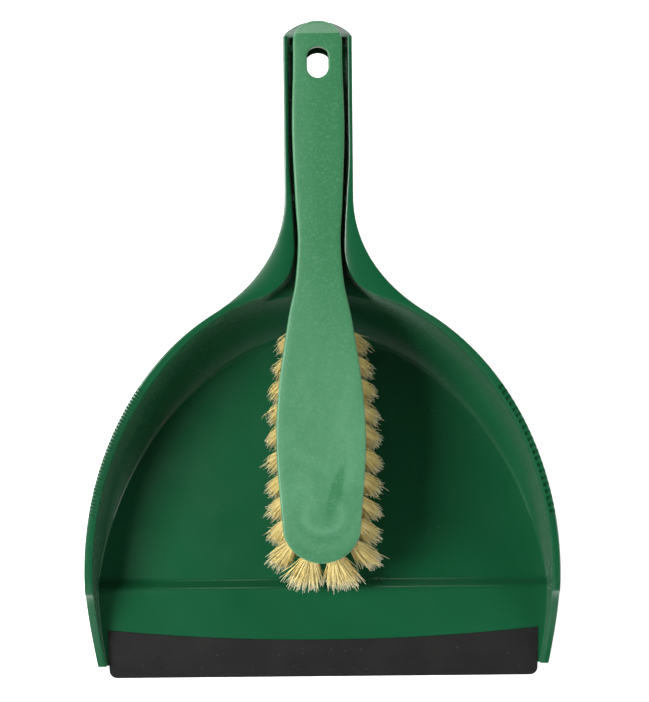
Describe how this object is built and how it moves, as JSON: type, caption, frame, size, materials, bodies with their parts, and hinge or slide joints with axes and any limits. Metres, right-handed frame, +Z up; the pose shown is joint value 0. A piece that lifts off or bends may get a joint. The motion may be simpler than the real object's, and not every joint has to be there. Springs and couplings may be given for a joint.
{
  "type": "dust pan and brush set",
  "caption": "Moulded dust pan with a rubber front lip and a hollow channel handle, holding a hand brush with fibre tufts.",
  "frame": {"origin": "centre of the overall box, on the surface that the pan stands on", "axes": "+Y along the handles, away from the rubber lip; +Z up; +X to the right when looking along +Y"},
  "size_m": [0.245, 0.3392, 0.0644],
  "materials": {
    "pan_plastic": "moulded polypropylene, satin gloss",
    "lip_rubber": "matt moulded rubber",
    "brush_plastic": "structural foam polypropylene with a faint swirl",
    "tuft_fibre": "flagged plant fibre",
    "staple_steel": "plain flat wire"
  },
  "bodies": {
    "pan": {"pan_shell": "pan_plastic", "rubber_lip": "lip_rubber"},
    "brush": {"brush_block": "brush_plastic", "tuft_anchors": "staple_steel", "tuft_01": "tuft_fibre", "tuft_02": "tuft_fibre", "tuft_03": "tuft_fibre", "tuft_04": "tuft_fibre", "tuft_05": "tuft_fibre", "tuft_06": "tuft_fibre", "tuft_07": "tuft_fibre", "tuft_08": "tuft_fibre", "tuft_09": "tuft_fibre", "tuft_10": "tuft_fibre", "tuft_11": "tuft_fibre", "tuft_12": "tuft_fibre", "tuft_13": "tuft_fibre", "tuft_14": "tuft_fibre", "tuft_15": "tuft_fibre", "tuft_16": "tuft_fibre", "tuft_17": "tuft_fibre", "tuft_18": "tuft_fibre", "tuft_19": "tuft_fibre", "tuft_20": "tuft_fibre", "tuft_21": "tuft_fibre", "tuft_22": "tuft_fibre", "tuft_23": "tuft_fibre", "tuft_24": "tuft_fibre", "tuft_25": "tuft_fibre", "tuft_26": "tuft_fibre", "tuft_27": "tuft_fibre", "tuft_28": "tuft_fibre", "tuft_29": "tuft_fibre", "tuft_30": "tuft_fibre", "tuft_31": "tuft_fibre", "tuft_32": "tuft_fibre", "tuft_33": "tuft_fibre", "tuft_34": "tuft_fibre", "tuft_35": "tuft_fibre", "tuft_36": "tuft_fibre", "tuft_37": "tuft_fibre", "tuft_38": "tuft_fibre", "tuft_39": "tuft_fibre"}
  },
  "joints": [
    {"name": "brush_lift", "type": "slide", "parent": "pan", "child": "brush", "axis": [0, 0, 1], "range_m": [0, 0.12]}
  ]
}
